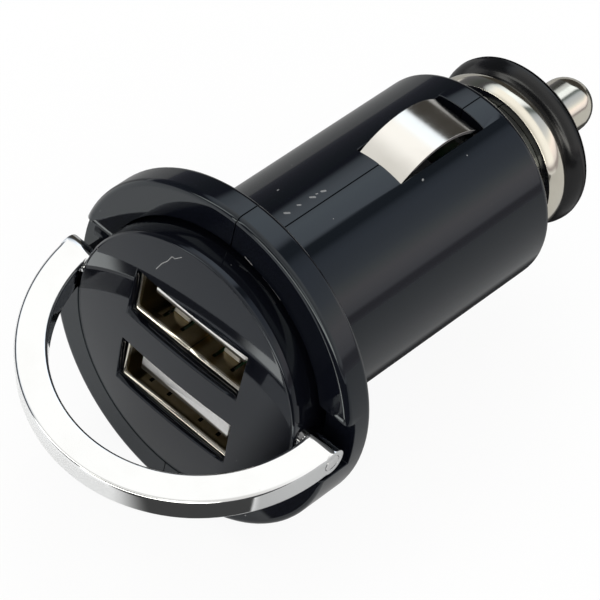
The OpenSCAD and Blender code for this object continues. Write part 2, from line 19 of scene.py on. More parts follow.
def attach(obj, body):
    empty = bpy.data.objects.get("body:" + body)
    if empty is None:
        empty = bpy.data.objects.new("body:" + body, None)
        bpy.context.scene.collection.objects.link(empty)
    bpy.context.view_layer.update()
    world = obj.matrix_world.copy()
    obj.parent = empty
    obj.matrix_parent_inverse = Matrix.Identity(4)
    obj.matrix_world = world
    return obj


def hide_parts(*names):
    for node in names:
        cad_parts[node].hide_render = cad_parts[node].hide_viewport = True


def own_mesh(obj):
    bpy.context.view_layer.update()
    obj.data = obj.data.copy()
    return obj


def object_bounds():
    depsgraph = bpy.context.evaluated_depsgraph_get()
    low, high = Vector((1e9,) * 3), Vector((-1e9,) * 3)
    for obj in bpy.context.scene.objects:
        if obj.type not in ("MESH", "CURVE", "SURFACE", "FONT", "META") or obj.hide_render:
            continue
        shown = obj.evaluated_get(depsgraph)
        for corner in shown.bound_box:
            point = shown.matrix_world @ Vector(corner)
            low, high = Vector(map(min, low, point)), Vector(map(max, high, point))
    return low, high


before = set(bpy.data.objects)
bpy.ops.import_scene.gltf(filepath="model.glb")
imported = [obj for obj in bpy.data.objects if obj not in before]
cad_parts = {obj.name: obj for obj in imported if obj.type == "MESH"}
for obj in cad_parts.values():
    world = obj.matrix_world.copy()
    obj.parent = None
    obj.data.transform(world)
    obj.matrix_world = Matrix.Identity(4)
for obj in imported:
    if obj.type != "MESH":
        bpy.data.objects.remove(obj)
CAD_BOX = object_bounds()

LOG = logging.getLogger("charger")
MM = 0.001

Colour = tuple[float, float, float]
Point = tuple[float, float, float]
Mark = tuple[Point, Point, float]
Fade = tuple[float, float]

# Width of a crisp border in a pattern
BORDER = 0.02

# Share of a speck's radius that is solid, and the shares of a stroke's width that its edge spans
SPECK_CORE = 0.6
STROKE_EDGE = (0.5, 1.3)

# Dome of the face plate: its radius, and the place of its highest point along Y
DOME_RADIUS = 86.7
DOME_NEAR = -7.15

# Parting line of the halves: how far from it the dark fades
PARTING_FADE = (0.02, 0.06)

# Painted shade in the gap round the face plate, a dark ring on the shell: its middle along X and
# Z, its radius, and where its dark ends along Y
PLATE_SHADE_CENTRE = (-0.2, -0.42)
PLATE_SHADE_RADIUS = 12.98
PLATE_SHADE_FADE = (-5.7, -5.6)


class Signal:
    """One output of a shader node, with operators that add the Math nodes of an expression."""

    def __init__(self, tree: "NodeSheet", socket: bpy.types.NodeSocket) -> None:
        """Keep the sheet that the socket belongs to, and the socket."""
        self.tree = tree
        self.socket = socket

    def output(self, name: int | str) -> "Signal":
        """Another output of the same node."""
        return Signal(self.tree, self.socket.node.outputs[name])

    def maths(self, operation: str, *values: "Signal | float") -> "Signal":
        """Add one Math node on some values."""
        return self.tree.add("ShaderNodeMath", {"operation": operation}, dict(enumerate(values)))

    def __add__(self, other: "Signal | float") -> "Signal":
        """Sum."""
        return self.maths("ADD", self, other)

    def __radd__(self, other: float) -> "Signal":
        """Sum with a number on the left."""
        return self.maths("ADD", other, self)

    def __sub__(self, other: "Signal | float") -> "Signal":
        """Difference."""
        return self.maths("SUBTRACT", self, other)

    def __rsub__(self, other: float) -> "Signal":
        """Difference with a number on the left."""
        return self.maths("SUBTRACT", other, self)

    def __mul__(self, other: "Signal | float") -> "Signal":
        """Product."""
        return self.maths("MULTIPLY", self, other)

    def __rmul__(self, other: float) -> "Signal":
        """Product with a number on the left."""
        return self.maths("MULTIPLY", other, self)

    def __truediv__(self, other: "Signal | float") -> "Signal":
        """Quotient."""
        return self.maths("DIVIDE", self, other)

    def __rtruediv__(self, other: float) -> "Signal":
        """Quotient with a number on the left."""
        return self.maths("DIVIDE", other, self)

    def size(self) -> "Signal":
        """Value without its sign."""
        return self.maths("ABSOLUTE", self)

    def root(self) -> "Signal":
        """Square root."""
        return self.maths("SQRT", self)

    def larger(self, other: "Signal | float") -> "Signal":
        """Larger of two values."""
        return self.maths("MAXIMUM", self, other)

    def rise(self, low: float, high: float) -> "Signal":
        """Smooth step from 0 at low to 1 at high.

        Args:
            low: value at which the step begins.
            high: value at which it has reached 1.

        Returns:
            The step, clamped at both ends.
        """
        return self.tree.add(
            "ShaderNodeMapRange",
            {"interpolation_type": "SMOOTHSTEP"},
            {"Value": self, "From Min": low, "From Max": high},
        )

    def fall(self, low: float, high: float) -> "Signal":
        """Smooth step from 1 at low to 0 at high."""
        return 1.0 - self.rise(low, high)


class NodeSheet:
    """The node tree of one material or world."""

    def __init__(self, data: bpy.types.ID) -> None:
        """Empty the tree.

        Args:
            data: the material or world that owns the tree.
        """
        data.use_nodes = True
        self.nodes = data.node_tree.nodes
        self.links = data.node_tree.links
        self.nodes.clear()

    def add(
        self,
        kind: str,
        settings: dict[str, object] | None = None,
        inputs: dict[int | str, object] | None = None,
        output: int | str = 0,
    ) -> Signal:
        """Add one node.

        Args:
            kind: Blender's name for the node's type.
            settings: properties to set first, with a ramp's stops under "stops".
            inputs: values or links of its sockets, by index or name.
            output: index or name of the output to return.

        Returns:
            The wanted output, which is empty for a node that only takes values.
        """
        node = self.nodes.new(kind)
        for name, value in (settings or {}).items():
            if name == "stops":
                self._fill_ramp(node.color_ramp, value)
            else:
                setattr(node, name, value)
        for name, value in (inputs or {}).items():
            socket = node.inputs[name]
            if isinstance(value, Signal):
                self.links.new(value.socket, socket)
            elif socket.type == "RGBA":
                socket.default_value = (*value[:3], 1.0)
            else:
                socket.default_value = value
        return Signal(self, node.outputs[output] if len(node.outputs) else None)

    @staticmethod
    def _fill_ramp(ramp: bpy.types.ColorRamp, stops: Sequence[tuple[float, Colour]]) -> None:
        """Put stops on a colour ramp.

        Args:
            ramp: the ramp.
            stops: places from 0 to 1 with their colours, in rising order.
        """
        while len(ramp.elements) > 1:
            ramp.elements.remove(ramp.elements[-1])
        for index, (place, colour) in enumerate(stops):
            element = ramp.elements[0] if index == 0 else ramp.elements.new(place)
            element.position = place
            element.color = (*colour, 1.0)

    def place(self) -> Signal:
        """Object coordinates, which are the frame's own metres."""
        return self.add("ShaderNodeTexCoord", output="Object")

    def axes(self, vector: Signal) -> tuple[Signal, Signal, Signal]:
        """Split a vector into its parts along X, Y and Z."""
        split = self.add("ShaderNodeSeparateXYZ", inputs={0: vector})
        return split, split.output(1), split.output(2)

    def stations(self) -> tuple[Signal, ...]:
        """Object coordinates along X, Y and Z, in millimetres."""
        return tuple(part / MM for part in self.axes(self.place()))

    def blend(
        self, mask: "Signal | float", first: "Signal | Colour", second: "Signal | Colour"
    ) -> Signal:
        """Mix two colours.

        Args:
            mask: 0 where the first shows, 1 where the second shows.
            first: one colour.
            second: the other colour.

        Returns:
            The mixed colour.
        """
        inputs = {"Factor": mask, 6: first, 7: second}
        return self.add("ShaderNodeMix", {"data_type": "RGBA"}, inputs, 2)

    def stretch(self, vector: Signal, scale: Point) -> Signal:
        """Scale a pattern's coordinates along the three axes."""
        return self.add("ShaderNodeMapping", inputs={"Vector": vector, "Scale": scale})

    def noise(self, vector: Signal, scale: float, detail: float = 3.0) -> Signal:
        """Fractal noise between 0 and 1."""
        inputs = {"Vector": vector, "Scale": scale, "Detail": detail}
        return self.add("ShaderNodeTexNoise", inputs=inputs)

    def specks(self, vector: Signal, scale: float, radius: float, share: float) -> Signal:
        """Scattered round specks.

        Args:
            vector: coordinates.
            scale: cells per metre.
            radius: radius of a speck as a share of a cell.
            share: share of the cells that hold one.

        Returns:
            A mask that is 1 on the specks.
        """
        cells = self.add("ShaderNodeTexVoronoi", inputs={"Vector": vector, "Scale": scale})
        chance = self.axes(cells.output("Color"))[0]
        spot = cells.output("Distance").fall(radius * SPECK_CORE, radius)
        return spot * chance.rise(1.0 - share, 1.001 - share)

    def stroke(self, vector: Signal, start: Point, end: Point, width: float) -> Signal:
        """Fine straight mark between two points.

        Args:
            vector: coordinates.
            start: one end.
            end: the other end.
            width: half width.

        Returns:
            A mask that is 1 on the mark.
        """
        first, along = Vector(start) * MM, (Vector(end) - Vector(start)) * MM
        arm = self.add("ShaderNodeVectorMath", {"operation": "SUBTRACT"}, {0: vector, 1: first})
        reach = self.add(
            "ShaderNodeVectorMath", {"operation": "DOT_PRODUCT"}, {0: arm, 1: along}, "Value"
        )
        part = self.add("ShaderNodeClamp", inputs={"Value": reach / along.length_squared})
        foot = self.add(
            "ShaderNodeVectorMath", {"operation": "SCALE"}, {0: tuple(along), "Scale": part}
        )
        gap = self.add(
            "ShaderNodeVectorMath", {"operation": "DISTANCE"}, {0: arm, 1: foot}, "Value"
        )
        return gap.fall(*(share * width * MM for share in STROKE_EDGE))

    def strokes(
        self, vector: Signal, marks: Sequence[Mark], ground: "Signal | float" = 0.0
    ) -> "Signal | float":
        """Lay fine straight marks over a mask.

        Args:
            vector: coordinates.
            marks: two ends and a half width for each mark.
            ground: the mask that they are laid over.

        Returns:
            The mask with the marks.
        """
        for start, end, width in marks:
            ground = self.stroke(vector, start, end, width).larger(ground)
        return ground

    def bump(self, height: Signal, depth: float, strength: float) -> Signal:
        """Turn a height between 0 and 1 into a shading normal."""
        inputs = {"Height": height, "Distance": depth * MM, "Strength": strength}
        return self.add("ShaderNodeBump", inputs=inputs)


@dataclass(frozen=True)
class Surface:
    """What varies over one finish."""

    colour: "Signal | Colour"
    roughness: "Signal | float"
    normal: Signal
    metallic: "Signal | None" = None


@dataclass(frozen=True)
class Finish:
    """The plain values of a finish, which each kind of finish varies in its own way."""

    name: str
    colour: Colour
    roughness: float
    metallic: float = 0.0
    ior: float = 1.5
    sheen_tint: Colour = (1.0, 1.0, 1.0)

    def surface(self, sheet: NodeSheet) -> Surface:
        """Work out what varies over the finish, with nodes on its sheet."""
        raise NotImplementedError

    def material(self) -> bpy.types.Material:
        """Build the material, or find it where it is there.

        Returns:
            The material.
        """
        made = bpy.data.materials.get(self.name)
        if made is not None:
            return made
        made = bpy.data.materials.new(self.name)
        sheet = NodeSheet(made)
        surface = self.surface(sheet)
        inputs = {
            "Base Color": surface.colour,
            "Roughness": surface.roughness,
            "Metallic": self.metallic if surface.metallic is None else surface.metallic,
            "IOR": self.ior,
            "Specular Tint": self.sheen_tint,
            "Normal": surface.normal,
        }
        shader = sheet.add("ShaderNodeBsdfPrincipled", {}, inputs, "BSDF")
        sheet.add("ShaderNodeOutputMaterial", {}, {"Surface": shader})
        return made


@dataclass(frozen=True)
class MouldedGloss(Finish):
    """Polished black moulding with dust, light handling marks and, on the halves, a dark parting
    line and painted shade in the gap round the face plate.
    """

    parted: bool = False
    marks: tuple[Mark, ...] = ()
    paler: float = 0.3
    # Black of the dark parting line and of the painted shade round the face plate
    joint_and_shade_black: Colour = (0.001, 0.001, 0.001)

    @staticmethod
    def parting_and_plate_shade(sheet: NodeSheet) -> Signal:
        """Dark of the parting line, and painted shade in the gap round the face plate.

        Args:
            sheet: the material's nodes.

        Returns:
            A mask that is 1 on the parting line and in the painted shade.
        """
        x, y, z = sheet.stations()
        aside, above = x - PLATE_SHADE_CENTRE[0], z - PLATE_SHADE_CENTRE[1]
        reach = (aside * aside + above * above).root()
        # Painted shade: a dark ring on the shell round the face plate, where its gap lies in shade
        plate_shade = reach.fall(PLATE_SHADE_RADIUS - BORDER, PLATE_SHADE_RADIUS + BORDER) * y.fall(*PLATE_SHADE_FADE)
        return x.size().fall(*PARTING_FADE).larger(plate_shade)

    def surface(self, sheet: NodeSheet) -> Surface:
        """Black with a faint haze, specks of dust and the marks of use.

        Args:
            sheet: the material's nodes.

        Returns:
            What varies over the finish.
        """
        place = sheet.place()
        haze = sheet.noise(place, 90.0, 4.0)
        hair = sheet.noise(sheet.stretch(place, (900.0, 60.0, 700.0)), 1.0, 2.0).rise(0.74, 0.78)
        dust = sheet.specks(place, 520.0, 0.045, 0.05)
        grit = sheet.specks(place, 1400.0, 0.06, 0.02)
        marked = sheet.strokes(place, self.marks, dust.larger(grit))
        pale = tuple(self.paler + part for part in self.colour)
        colour = sheet.blend(0.8 * marked, self.colour, pale)
        roughness = self.roughness + 0.03 * haze + 0.05 * hair + 0.3 * marked
        normal = sheet.bump(0.5 * marked, 0.01, 0.5)
        if not self.parted:
            return Surface(colour, roughness, normal)
        # Dark parting line, with painted shade round the face plate
        gap = self.parting_and_plate_shade(sheet)
        colour = sheet.blend(gap, colour, self.joint_and_shade_black)
        return Surface(colour, roughness + 0.4 * gap, normal, gap)


@dataclass(frozen=True)
class PlatedMetal(Finish):
    """Plated or rolled metal with fine lines along one direction and slight tarnish."""

    metallic: float = 1.0
    grain: Point = (200.0, 200.0, 200.0)
    tint: Colour = (0.5, 0.45, 0.38)
    tarnish: float = 0.15
    relief: float = 0.4

    def surface(self, sheet: NodeSheet) -> Surface:
        """Lines of the rolling or polishing, and a tint where the plating has aged.

        Args:
            sheet: the material's nodes.

        Returns:
            What varies over the finish.
        """
        place = sheet.place()
        lines = sheet.noise(sheet.stretch(place, self.grain), 1.0, 4.0)
        cloud = sheet.noise(place, 260.0).rise(0.45, 0.75)
        pits = sheet.specks(place, 1500.0, 0.07, 0.03)
        colour = sheet.blend(self.tarnish * cloud, self.colour, self.tint)
        colour = sheet.blend(0.35 * pits, colour, self.tint)
        roughness = self.roughness * (0.7 + 0.6 * lines) + 0.05 * cloud + 0.1 * pits
        return Surface(colour, roughness, sheet.bump(lines - pits, 0.001, self.relief))


@dataclass(frozen=True)
class PortMetal(PlatedMetal):
    """Plated sheet, darker and browner past its front edge, with dull noses on its fingers."""

    inside: Colour = (0.25, 0.205, 0.125)
    nose: Colour = (0.34, 0.33, 0.31)
    edge_y: float = -5.62
    edge_depth: float = 0.12
    finger_x: float = 3.0
    finger_half: float = 1.1
    wall_z: float = 1.95
    nose_z: float = 3.4

    def surface(self, sheet: NodeSheet) -> Surface:
        """Darken the metal past its front edge and dull the fingers' noses.

        Args:
            sheet: the material's nodes.

        Returns:
            What varies over the finish.
        """
        plain = super().surface(sheet)
        x, y, z = sheet.stations()
        cloud = sheet.noise(sheet.place(), 650.0, 2.0)
        deep = y.rise(self.edge_y, self.edge_y + self.edge_depth) * (0.75 + 0.5 * cloud)
        off_finger = (x.size() - self.finger_x).size()
        level = z.size()
        nose = off_finger.fall(self.finger_half, self.finger_half + BORDER)
        nose = nose * level.rise(self.wall_z, self.wall_z + BORDER)
        nose = nose * level.fall(self.nose_z, self.nose_z + BORDER)
        colour = sheet.blend(nose, sheet.blend(deep, plain.colour, self.inside), self.nose)
        return Surface(colour, plain.roughness + 0.15 * nose, plain.normal, 1.0 - 0.6 * nose)


@dataclass(frozen=True)
class CircuitLaminate(Finish):
    """Green solder mask over copper tracks."""

    track: Colour = (0.09, 0.32, 0.13)
    pad: Colour = (0.75, 0.72, 0.66)

    def surface(self, sheet: NodeSheet) -> Surface:
        """Tracks that show through the mask, with a few bare pads.

        Args:
            sheet: the material's nodes.

        Returns:
            What varies over the finish.
        """
        place = sheet.place()
        weave = sheet.noise(place, 1800.0, 2.0)
        along = sheet.noise(sheet.stretch(place, (420.0, 40.0, 1.0)), 1.0, 0.0).rise(0.5, 0.52)
        pads = sheet.specks(place, 400.0, 0.3, 0.2)
        colour = sheet.blend(pads, sheet.blend(0.7 * along, self.colour, self.track), self.pad)
        normal = sheet.bump(along + 0.3 * weave, 0.02, 0.5)
        return Surface(colour, self.roughness + 0.1 * weave, normal)


@dataclass(frozen=True)
class SleevedCan(Finish):
    """Shrunk sleeve over a metal can, bare at its far end."""

    bare: Colour = (0.62, 0.62, 0.63)
    bare_from: float = 0.0

    def surface(self, sheet: NodeSheet) -> Surface:
        """Sleeve colour up to a station on the plug axis, bare metal past it.

        Args:
            sheet: the material's nodes.

        Returns:
            What varies over the finish.
        """
        end = sheet.stations()[1].rise(self.bare_from - BORDER, self.bare_from)
        fine = sheet.noise(sheet.place(), 2500.0, 2.0)
        colour = sheet.blend(end, self.colour, self.bare)
        return Surface(colour, self.roughness + 0.12 * fine, sheet.bump(fine, 0.004, 0.4))


@dataclass(frozen=True)
class GrainyBody(Finish):
    """Cast or pressed body with a fine even grain."""

    grain_scale: float = 3500.0
    paler: float = 1.25

    def surface(self, sheet: NodeSheet) -> Surface:
        """Fine grain in colour, roughness and height.

        Args:
            sheet: the material's nodes.

        Returns:
            What varies over the finish.
        """
        grain = sheet.noise(sheet.place(), self.grain_scale)
        pale = tuple(min(1.0, self.paler * part) for part in self.colour)
        colour = sheet.blend(grain, self.colour, pale)
        return Surface(colour, self.roughness + 0.1 * grain, sheet.bump(grain, 0.01, 0.35))


@dataclass(frozen=True)
class EdgeShadedMoulding(GrainyBody):
    """Grainy body with painted shade along some of its edges."""

    # Colour of the painted shade, and the edges where it is painted
    painted_shade: Colour = (0.035, 0.03, 0.022)
    edges: tuple[Mark, ...] = ()

    def surface(self, sheet: NodeSheet) -> Surface:
        """Paint shade over the grain along the named edges.

        Args:
            sheet: the material's nodes.

        Returns:
            What varies over the finish.
        """
        plain = super().surface(sheet)
        # Painted shade along the named edges
        edge_shade = sheet.strokes(sheet.place(), self.edges)
        colour = sheet.blend(edge_shade, plain.colour, self.painted_shade)
        return Surface(colour, plain.roughness, plain.normal)


def on_dome(x: float, z: float) -> Point:
    """Point of the face plate's dome."""
    return (x, DOME_NEAR + (x * x + z * z) / (2.0 * DOME_RADIUS), z)


# Painted shade on the lower front edges of the port tongues: two ends and a half width each
TONGUE_SHADED_EDGES = (
    ((-5.3, -5.0, 4.13), (5.3, -5.0, 4.17), 0.28),
    ((-5.3, -5.0, -5.55), (5.3, -5.0, -5.85), 0.36),
)
BARREL_NICKS = (
    ((-1.2, 5.6, 10.4), (-0.95, 5.9, 10.4), 0.13),
    ((-1.15, 7.2, 10.39), (-1.0, 7.4, 10.39), 0.1),
    ((-1.1, 8.8, 10.41), (-0.85, 9.1, 10.41), 0.12),
    ((-1.05, 9.5, 10.41), (-1.0, 9.6, 10.41), 0.08),
    ((-0.95, 10.1, 10.41), (-0.8, 10.4, 10.41), 0.12),
    ((-3.86, 7.7, 9.71), (-3.86, 7.8, 9.71), 0.08),
    ((3.44, 18.8, 9.87), (3.4, 18.9, 9.87), 0.09),
)
SHELF_HAIRS = (
    ((1.66, -3.1, 12.97), (2.54, -3.1, 12.71), 0.05),
    ((3.8, -3.1, 12.29), (4.93, -3.1, 11.89), 0.05),
    ((4.93, -3.1, 11.89), (6.09, -3.1, 11.39), 0.06),
)
FACE_HAIR = (
    (on_dome(-4.6, 8.57), on_dome(-4.18, 9.54), 0.04),
    (on_dome(-4.18, 9.54), on_dome(-3.71, 10.18), 0.04),
    (on_dome(-3.71, 10.18), on_dome(-3.39, 10.95), 0.04),
    (on_dome(-3.39, 10.95), on_dome(-3.04, 10.99), 0.04),
    (on_dome(-3.04, 10.99), on_dome(-2.45, 11.61), 0.035),
)

HOUSING = MouldedGloss(
    "housing_gloss_black",
    (0.0032, 0.0038, 0.0066),
    0.035,
    sheen_tint=(0.86, 0.95, 1.0),
    parted=True,
    marks=BARREL_NICKS + SHELF_HAIRS,
)
FACE = MouldedGloss(
    "face_gloss_black",
    (0.003, 0.0034, 0.0056),
    0.03,
    ior=1.43,
    sheen_tint=(0.82, 0.9, 1.0),
    marks=FACE_HAIR,
)
CAP = MouldedGloss("cap_satin_black", (0.0045, 0.0047, 0.0055), 0.17, ior=1.42)
CHROME = PlatedMetal("handle_chrome", (0.86, 0.87, 0.88), 0.03, tarnish=0.05, relief=0.05)
PIN = PlatedMetal("pin_steel", (0.5, 0.5, 0.51), 0.2, grain=(30.0, 4000.0, 4000.0))
LEAF = PlatedMetal(
    "leaf_nickel", (0.84, 0.82, 0.78), 0.15, grain=(6000.0, 60.0, 60.0), tarnish=0.12
)
NICKEL = PlatedMetal(
    "nose_nickel", (0.80, 0.76, 0.66), 0.1, grain=(90.0, 3000.0, 90.0), tarnish=0.2
)
PORT_METAL = PortMetal(
    "port_plated_steel", (0.82, 0.78, 0.68), 0.2, grain=(60.0, 3000.0, 3000.0), tarnish=0.4
)
TIN = PlatedMetal("tin_plate", (0.7, 0.7, 0.68), 0.25, grain=(200.0, 2000.0, 200.0))
SPRING = PlatedMetal("spring_steel", (0.58, 0.58, 0.58), 0.2, grain=(900.0, 900.0, 900.0))
GOLD = PlatedMetal("contact_gold", (0.42, 0.33, 0.18), 0.35, grain=(3000.0, 90.0, 90.0))
TONGUE = EdgeShadedMoulding("tongue_light_plastic", (0.74, 0.74, 0.75), 0.35, edges=TONGUE_SHADED_EDGES)
FERRITE = GrainyBody("choke_ferrite", (0.03, 0.03, 0.032), 0.7, grain_scale=5000.0)
EPOXY = GrainyBody("black_epoxy", (0.015, 0.015, 0.016), 0.55)
LAMINATE = CircuitLaminate("board_green_mask", (0.02, 0.12, 0.04), 0.35)
INPUT_CAN = SleevedCan("input_can_sleeve", (0.02, 0.03, 0.12), 0.3, bare_from=25.7)
OUTPUT_CAN = SleevedCan("output_can_sleeve", (0.02, 0.03, 0.12), 0.3, bare_from=12.6)


class Body(Enum):
    """Bodies that the CAD's joints move."""

    MAIN = "body"
    HANDLE = "handle"
    TIP = "tip"
    TOP_LEAF = "top_leaf"
    BOTTOM_LEAF = "bottom_leaf"


class Half(Enum):
    """Sides of the parting line."""

    LEFT = "left"
    RIGHT = "right"


class Level(Enum):
    """Places of the two ports."""

    UPPER = "upper"
    LOWER = "lower"


class Side(Enum):
    """Sides of the barrel that hold a leaf."""

    TOP = "top"
    BOTTOM = "bottom"


@dataclass
class SubAssembly:
    """A group of pieces on one body."""

    body: Body = Body.MAIN
    careful: bool = True
    merge: float = 0.002
    flat: float = 0.2

    def report(self, piece: bpy.types.Object) -> None:
        """Write one line about a finished piece."""
        faces = len(piece.data.polygons)
        LOG.info("%s on %s: %d faces", piece.name, self.body.value, faces)

    def finish_node(self, node: str, finish: Finish) -> None:
        """Give a CAD node its material and leave its shape.

        Args:
            node: the CAD node.
            finish: its finish.
        """
        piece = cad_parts[node]
        piece.data.materials.clear()
        piece.data.materials.append(finish.material())
        self.report(piece)

    def refine(self, form: bmesh.types.BMesh, edge: float) -> None:
        """Join the coplanar triangles of the copy, whatever its edges get later."""
        flat = math.radians(self.flat)
        bmesh.ops.dissolve_limit(form, angle_limit=flat, verts=form.verts, edges=form.edges)

    def soften(self, piece: bpy.types.Object, edge: float, crease: float) -> None:
        """Round the sharp edges and even out the shading.

        Args:
            piece: the new piece.
            edge: width of the rounding, or 0 for none.
            crease: angle in degrees past which an edge counts as sharp.
        """
        if edge > 0:
            round_off = piece.modifiers.new("soft edges", "BEVEL")
            round_off.width = edge * MM
            round_off.segments = 2
            round_off.limit_method = "ANGLE"
            round_off.angle_limit = math.radians(crease)
            round_off.use_clamp_overlap = self.careful
            round_off.harden_normals = False
            round_off.miter_outer = "MITER_ARC"
        shade = piece.modifiers.new("even shading", "WEIGHTED_NORMAL")
        shade.mode = "FACE_AREA"
        shade.weight = 100
        shade.keep_sharp = edge <= 0

    def dress(
        self, node: str, name: str, finish: Finish, slot: str, edge: float, crease: float = 28.0
    ) -> bpy.types.Object:
        """Replace a CAD node by a copy with clean shading and softened edges.

        Args:
            node: the CAD node that the piece stands for.
            name: name of the new piece.
            finish: its finish.
            slot: not used.
            edge: width of the softening of its sharp edges.
            crease: angle in degrees past which an edge counts as sharp.

        Returns:
            The piece.
        """
        mesh = bpy.data.meshes.new(name)
        form = bmesh.new()
        form.from_mesh(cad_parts[node].data)
        bmesh.ops.remove_doubles(form, verts=form.verts, dist=self.merge * MM)
        self.refine(form, edge)
        for face in form.faces:
            face.smooth = True
        form.to_mesh(mesh)
        form.free()
        mesh.set_sharp_from_angle(angle=math.radians(crease))
        mesh.materials.clear()
        mesh.materials.append(finish.material())
        piece = bpy.data.objects.new(name, mesh)
        bpy.context.scene.collection.objects.link(piece)
        self.soften(piece, edge, crease)
        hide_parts(node)
        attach(piece, self.body.value)
        self.report(piece)
        return piece


@dataclass
class Housing(SubAssembly):
    """The two moulded half shells with head, barrel, neck and spigot."""

    careful: bool = False
    edge: float = 0.09

    def build(self) -> None:
        """Dress both halves."""
        for half in Half:
            self.dress(f"{half.value}_shell", f"{half.value}_half", HOUSING, "housing", self.edge)


@dataclass
class FacePlate(SubAssembly):
    """The domed plate with the two port slots."""

    edge: float = 0.08
    crease: float = 60.0
    reach: float = 0.004
    shaded_reach: float = 0.006

    @staticmethod
    def centre() -> Vector:
        """Centre of the dome's sphere, in metres."""
        return Vector((0.0, DOME_NEAR + DOME_RADIUS, 0.0)) * MM

    def on_sphere(self, point: Vector, reach: float) -> bool:
        """Whether a point lies on the dome's sphere to within a reach."""
        return abs((point - self.centre()).length - DOME_RADIUS * MM) < reach * MM

    def refine(self, form: bmesh.types.BMesh, edge: float) -> None:
        """Inset the dome and let its outline fall, which rounds the rim and the slots' mouths.

        Args:
            form: the copy of the plate.
            edge: width of the rounding.
        """
        form.normal_update()
        dome = {
            face
            for face in form.faces
            if face.normal.y < -0.9
            and all(self.on_sphere(vert.co, self.reach) for vert in face.verts)
        }
        inset = bmesh.ops.inset_region(
            form, faces=list(dome), thickness=edge * MM, use_even_offset=True, use_boundary=True
        )
        top = dome.union(inset["faces"])
        outline = {
            vert
            for face in inset["faces"]
            for vert in face.verts
            if any(near not in top for near in vert.link_faces)
        }
        bmesh.ops.translate(form, verts=list(outline), vec=(0.0, edge * MM, 0.0))

    def soften(self, piece: bpy.types.Object, edge: float, crease: float) -> None:
        """Shade the dome by its sphere, so that its reflections run smoothly.

        Args:
            piece: the new piece.
            edge: not used, since the plate's own edge ring already gives the rounding.
            crease: not used; the angle is already set on the mesh.
        """
        mesh = piece.data
        normals = [Vector()] * len(mesh.loops)
        for face in mesh.polygons:
            if face.normal.y > -0.5:
                continue
            for corner in face.loop_indices:
                point = mesh.vertices[mesh.loops[corner].vertex_index].co
                if self.on_sphere(point, self.shaded_reach):
                    normals[corner] = (point - self.centre()).normalized()
        mesh.normals_split_custom_set(normals)

    def build(self) -> None:
        """Dress the plate."""
        self.dress("face_plate", "domed_face", FACE, "face", self.edge, self.crease)


@dataclass
class Handle(SubAssembly):
    """The chrome half ring."""

    body: Body = Body.HANDLE
    edge: float = 0.06

    def build(self) -> None:
        """Dress the ring."""
        self.dress("pull_handle", "half_ring", CHROME, "chrome", self.edge)


@dataclass
class HingePins(SubAssembly):
    """The two pins that the ring turns on."""

    edge: float = 0.05

    def build(self) -> None:
        """Dress both pins."""
        for half in Half:
            self.dress(f"{half.value}_hinge_pin", f"{half.value}_pin", PIN, "pin_steel", self.edge)


@dataclass
class LeafContact(SubAssembly):
    """One bowed leaf with its rolled eye."""

    side: Side = Side.TOP
    edge: float = 0.05

    def build(self) -> None:
        """Dress the leaf."""
        side = self.side.value
        self.dress(f"{side}_contact", f"{side}_leaf_spring", LEAF, "nickel", self.edge)


@dataclass
class Nose(SubAssembly):
    """The nickel ring and the black cap."""

    edge: float = 0.08
    crease: float = 40.0

    def build(self) -> None:
        """Dress both."""
        self.dress("nose_ring", "nickel_ring", NICKEL, "nickel_ring", self.edge, self.crease)
        self.dress("nose_cap", "screw_cap", CAP, "cap", self.edge, self.crease)


@dataclass
class ContactTip(SubAssembly):
    """The sprung centre contact."""

    body: Body = Body.TIP
    edge: float = 0.08
    crease: float = 40.0

    def build(self) -> None:
        """Dress the tip."""
        self.dress("contact_tip", "centre_tip", NICKEL, "nickel_tip", self.edge, self.crease)


@dataclass
class TipSpring(SubAssembly):
    """The spring behind the tip, which shortens as the tip goes in."""

    travel: float = 3.0
    crease: float = 40.0

    def build(self) -> None:
        """Dress the spring and give it a mesh of its own."""
        piece = self.dress(
            "tip_spring", "return_spring", SPRING, "spring_steel", 0.0, self.crease
        )
        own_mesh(piece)


@dataclass
class Ports(SubAssembly):
    """The metal shells of the two ports with their tongues and pins."""

    def refine(self, form: bmesh.types.BMesh, edge: float) -> None:
        """Keep the triangles, because the spring fingers pierce the walls."""

    def build(self) -> None:
        """Dress what shows in the two slots."""
        for level in (level.value for level in Level):
            self.dress(f"{level}_port_shell", f"{level}_shell", PORT_METAL, "port_metal", 0.0)
            self.dress(f"{level}_port_tongue", f"{level}_tongue", TONGUE, "tongue", 0.0)
            self.dress(f"{level}_port_pins", f"{level}_pins", GOLD, "gold", 0.0)


@dataclass
class Circuit(SubAssembly):
    """What is sealed in the housing."""

    def build(self) -> None:
        """Finish each hidden node."""
        for node, finish in (
            ("circuit_board", LAMINATE),
            ("spring_plate", TIN),
            ("upper_ground_strip", TIN),
            ("lower_ground_strip", TIN),
            ("choke", FERRITE),
            ("input_capacitor", INPUT_CAN),
            ("output_capacitor", OUTPUT_CAN),
            ("regulator_chip", EPOXY),
            ("diode", EPOXY),
        ):
            self.finish_node(node, finish)


@dataclass(frozen=True, kw_only=True)
class Zone:
    """A stretch of space or of directions with soft ends, where a fade names each end."""

    x_from: Fade | None = None
    x_to: Fade | None = None
    y_from: Fade | None = None
    y_to: Fade | None = None
    z_from: Fade | None = None
    z_to: Fade | None = None
    strength: float = 1.0

    def mask(self, *axes: Signal) -> "Signal | float":
        """Show where the zone lies.

        Args:
            axes: the values along X, Y and, where the zone has them, Z.

        Returns:
            A mask that is the zone's strength inside it and 0 outside.
        """
        ends = ((self.x_from, self.x_to), (self.y_from, self.y_to), (self.z_from, self.z_to))
        mask: Signal | float = self.strength
        for value, (start, end) in zip(axes, ends):
            if start is not None:
                mask = value.rise(*start) * mask
            if end is not None:
                mask = value.fall(*end) * mask
        return mask


